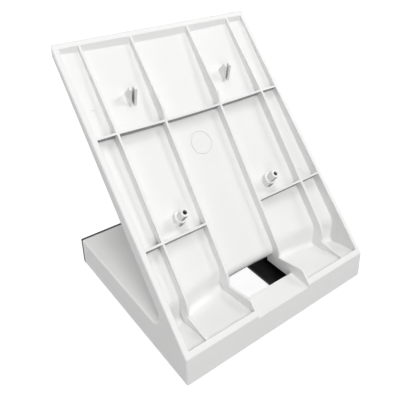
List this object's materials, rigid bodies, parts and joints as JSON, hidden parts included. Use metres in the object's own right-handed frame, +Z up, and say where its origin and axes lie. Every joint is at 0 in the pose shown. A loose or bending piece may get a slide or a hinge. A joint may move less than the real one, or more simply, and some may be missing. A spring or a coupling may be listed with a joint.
{
  "type": "desk stand",
  "caption": "Wedge-shaped desk stand that holds a wall-type entry or alarm panel at an angle: ribbed leaning back, hollow base with a cable opening, black plate below and behind.",
  "frame": {"origin": "on the table, under the middle of the outer box", "axes": "+X across the width to the user's right, -Y towards the user, +Z up"},
  "size_m": [0.166, 0.1504, 0.1804],
  "materials": {
    "white_plastic": "fine satin, moulded",
    "black_steel": "matt black powder coat",
    "screw_steel": "black zinc plate",
    "foot_rubber": "matt"
  },
  "bodies": {
    "root": {"stand_body": "white_plastic", "base_plate": "black_steel", "base_screw_front_left": "screw_steel", "base_screw_front_right": "screw_steel", "base_screw_middle_left": "screw_steel", "base_screw_middle_right": "screw_steel", "base_screw_rear_left": "screw_steel", "base_screw_rear_right": "screw_steel", "foot_front_left": "foot_rubber", "foot_front_right": "foot_rubber", "foot_rear_left": "foot_rubber", "foot_rear_right": "foot_rubber"}
  },
  "joints": []
}
